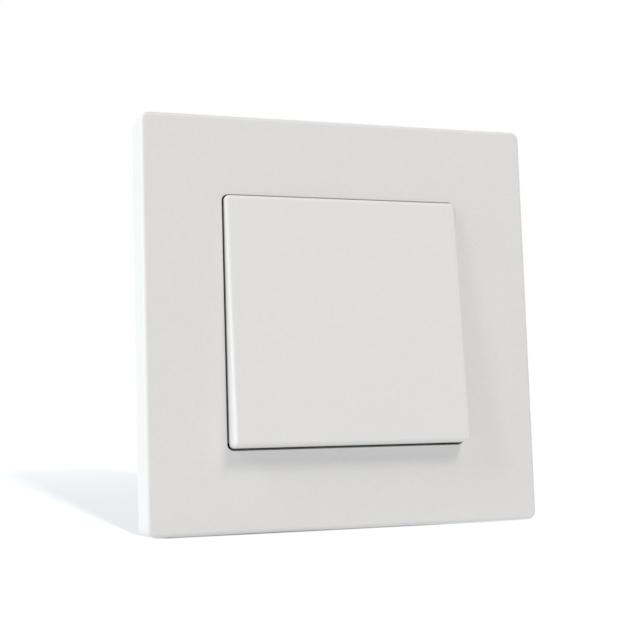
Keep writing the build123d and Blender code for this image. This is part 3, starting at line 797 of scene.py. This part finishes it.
def floor_material(stage):
    """Pale floor that is white to the camera and keeps the shadow of the switch, with a painted contact
    shadow under the frame.
    """
    made = bpy.data.materials.new("floor_white")
    made.use_nodes = True
    tree = made.node_tree
    tree.nodes.clear()
    place = object_place(tree)
    dark_paper = shade(stage.floor_white, 1 - paper_range)
    light_paper = shade(stage.floor_white, 1 + paper_range)
    paper = tinted(tree, noise(tree, place, paper_clouds), dark_paper, light_paper)
    # Painted contact shadow under the frame darkens both the lit and the glowing floor
    contact = contact_shadow_mask(tree, place, stage)
    matt = put(tree, "ShaderNodeBsdfDiffuse", {"Color": tinted(tree, contact, paper, black)}).outputs[0]
    made_up = (1 - stage.floor_glow) / stage.floor_glow * stage.floor_white[1] * stage.floor_light
    strength = sums(tree, "ADD", product(tree, lost_light(tree, place), made_up), 1.0)
    lit = {"Color": tinted(tree, contact, glow_tint, black), "Strength": strength}
    glow = put(tree, "ShaderNodeEmission", lit).outputs[0]
    shown = put(tree, "ShaderNodeMixShader", {0: stage.floor_glow, 1: matt, 2: glow}).outputs[0]
    bounce = put(tree, "ShaderNodeEmission", {"Color": paper, "Strength": stage.floor_bounce}).outputs[0]
    mixed = put(tree, "ShaderNodeMixShader", {0: background_rays(tree), 1: bounce, 2: shown}).outputs[0]
    put(tree, "ShaderNodeOutputMaterial", {"Surface": mixed})
    return made


def room_world(stage):
    """White to the camera and in reflections, and an even soft light on the switch."""
    world = bpy.data.worlds.new("studio")
    world.use_nodes = True
    tree = world.node_tree
    tree.nodes.clear()
    soft = put(tree, "ShaderNodeBackground", {"Color": room_tint, "Strength": stage.room_light}).outputs[0]
    seen = put(tree, "ShaderNodeBackground", {"Color": white, "Strength": 1.0}).outputs[0]
    mixed = put(tree, "ShaderNodeMixShader", {0: background_rays(tree), 1: soft, 2: seen}).outputs[0]
    put(tree, "ShaderNodeOutputWorld", {"Surface": mixed})
    return world


def pale_floor(stage):
    """The floor that the switch stands on."""
    start_piece()
    bpy.ops.mesh.primitive_plane_add(size=floor_side, location=(0, 0, 0))
    floor = bpy.context.object
    floor.name = "floor"
    bpy.ops.transform.translate(value=(0, 0, cad_box[0].z))
    settle()
    floor.data.materials.append(floor_material(stage))
    return floor


def photo_camera(stage):
    """The camera at the photograph's viewing angle."""
    start_piece()
    turn = looking_from(camera_eye, camera_eye + camera_sight, camera_up)
    bpy.ops.object.camera_add(location=camera_eye, rotation=turn)
    camera = bpy.context.object
    camera.name = "photo_camera"
    camera.data.sensor_width = film_width
    camera.data.lens = stage.focal_length
    camera.data.clip_start = nearest_seen
    return camera


# Operators


class LIGHTSWITCH_OT_front(bpy.types.Operator):
    """Give the cover frame and the rocker their grained white plastic, with painted shade in the gap round
    the rocker and a painted highlight along sharper edges
    """

    bl_idname = "light_switch.front"
    bl_label = "Frame and rocker"

    def execute(self, context):
        looks = context.scene.switch_finishes
        for node, base in (("cover_frame", looks.frame_white), ("rocker", looks.rocker_white)):
            # The stronger, lighter rub on the white front is partly edge wear and partly a painted
            # highlight along its sharper edges
            plastic = moulded(f"{node}_white", base, looks.front_roughness, looks, rub=0.5, lighter=1.1)
            frame["nodes"][node].material_slots[0].material = plastic
        paint_gap_shade(looks)
        return {"FINISHED"}


class LIGHTSWITCH_OT_inner_plastic(bpy.types.Operator):
    """Give the housing, its covers, the cradle, the plunger and the release buttons their plastics"""

    bl_idname = "light_switch.inner_plastic"
    bl_label = "Housing and inner plastic"

    def execute(self, context):
        looks = context.scene.switch_finishes
        # Finish, colour, roughness, and how much coarser its grain is than the front's
        rows = (
            ("housing_plastic", looks.housing_grey, 0.55, 2.0),
            ("cradle_plastic", looks.cradle_black, 0.42, 1.5),
            ("plunger_nylon", looks.nylon_ivory, 0.5, 1.0),
            ("release_plastic", looks.release_orange, 0.42, 1.2),
        )
        for finish, base, roughness, coarser in rows:
            dress(finish, moulded(finish, base, roughness, looks, coarser))
        return {"FINISHED"}


class LIGHTSWITCH_OT_steel(bpy.types.Operator):
    """Give the support plate, claws, pins, nuts, screws and springs their steel"""

    bl_idname = "light_switch.steel"
    bl_label = "Plate, claws and springs"

    def execute(self, context):
        looks = context.scene.switch_finishes
        zinc = metal("zinc_steel", looks.zinc_grey, zinc_tarnish, roughness=0.36)
        spring = metal("spring_steel", looks.spring_grey, spring_tarnish, roughness=0.3, streaks=7000.0)
        dress("zinc_steel", zinc)
        dress("spring_steel", spring)
        return {"FINISHED"}


class LIGHTSWITCH_OT_contacts(bpy.types.Operator):
    """Give the bars, the seesaw contact and the contact rivets their metals"""

    bl_idname = "light_switch.contacts"
    bl_label = "Bars and contacts"

    def execute(self, context):
        looks = context.scene.switch_finishes
        dress("brass", metal("brass", looks.brass_yellow, brass_tarnish, roughness=0.3))
        dress("copper", metal("copper", looks.copper_red, copper_tarnish, roughness=0.32))
        dress("silver", metal("silver", looks.silver_white, silver_tarnish, roughness=0.24))
        return {"FINISHED"}


class LIGHTSWITCH_OT_claw_screws(bpy.types.Operator):
    """Model the two threaded claw screws in the place of the plain ones"""

    bl_idname = "light_switch.claw_screws"
    bl_label = "Claw screws"

    def execute(self, context):
        screws = context.scene.switch_screws
        low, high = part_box("claw_screw_left")
        left = claw_screw("threaded_claw_screw_left", low, high, screws)
        left.data.materials.clear()
        left.data.materials.append(bpy.data.materials["zinc_steel"])
        right = copied_piece(left, "threaded_claw_screw_right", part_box("claw_screw_right")[0] - low)
        for side, piece in zip(sides, (left, right)):
            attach(piece, f"claw_screw_{side}_unit")
            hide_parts(f"claw_screw_{side}")
        return {"FINISHED"}


class LIGHTSWITCH_OT_stage(bpy.types.Operator):
    """Set up the pale floor, the soft lamps and the camera"""

    bl_idname = "light_switch.stage"
    bl_label = "Floor, lamps and camera"

    def execute(self, context):
        scene = context.scene
        stage = scene.switch_stage
        floor = pale_floor(stage)
        for name, form in soft_lamps.items():
            link_light(soft_lamp(name, getattr(stage, name), *form), floor, "EXCLUDE")
        link_light(low_lamp(stage.floor_light), floor, "INCLUDE")
        scene.world = room_world(stage)
        scene.camera = photo_camera(stage)
        scene.view_settings.view_transform = "Standard"
        return {"FINISHED"}


class LIGHTSWITCH_PT_panel(bpy.types.Panel):
    """Lists the steps and the values of the light switch"""

    bl_idname = "LIGHTSWITCH_PT_panel"
    bl_label = "Light switch"
    bl_space_type = "VIEW_3D"
    bl_region_type = "UI"
    bl_category = "Light switch"

    def draw(self, context):
        scene = context.scene
        for operator in operators:
            self.layout.operator(operator.bl_idname)
        for group in (scene.switch_finishes, scene.switch_screws, scene.switch_stage):
            box = self.layout.box()
            for name in group.__annotations__:
                box.prop(group, name)


operators = (
    LIGHTSWITCH_OT_front,
    LIGHTSWITCH_OT_inner_plastic,
    LIGHTSWITCH_OT_steel,
    LIGHTSWITCH_OT_contacts,
    LIGHTSWITCH_OT_claw_screws,
    LIGHTSWITCH_OT_stage,
)
classes = (SwitchFinishes, SwitchScrews, SwitchStage, *operators, LIGHTSWITCH_PT_panel)


def register():
    """Register the classes and hang their values on the scene."""
    for cls in classes:
        bpy.utils.register_class(cls)
    bpy.types.Scene.switch_finishes = PointerProperty(type=SwitchFinishes)
    bpy.types.Scene.switch_screws = PointerProperty(type=SwitchScrews)
    bpy.types.Scene.switch_stage = PointerProperty(type=SwitchStage)


def unregister():
    """Take the values and the classes away again."""
    del bpy.types.Scene.switch_stage
    del bpy.types.Scene.switch_screws
    del bpy.types.Scene.switch_finishes
    for cls in reversed(classes):
        bpy.utils.unregister_class(cls)


def main():
    """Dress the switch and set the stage."""
    register()
    bpy.ops.light_switch.front()
    bpy.ops.light_switch.inner_plastic()
    bpy.ops.light_switch.steel()
    bpy.ops.light_switch.contacts()
    bpy.ops.light_switch.claw_screws()
    bpy.ops.light_switch.stage()


if __name__ == "__main__":
    main()
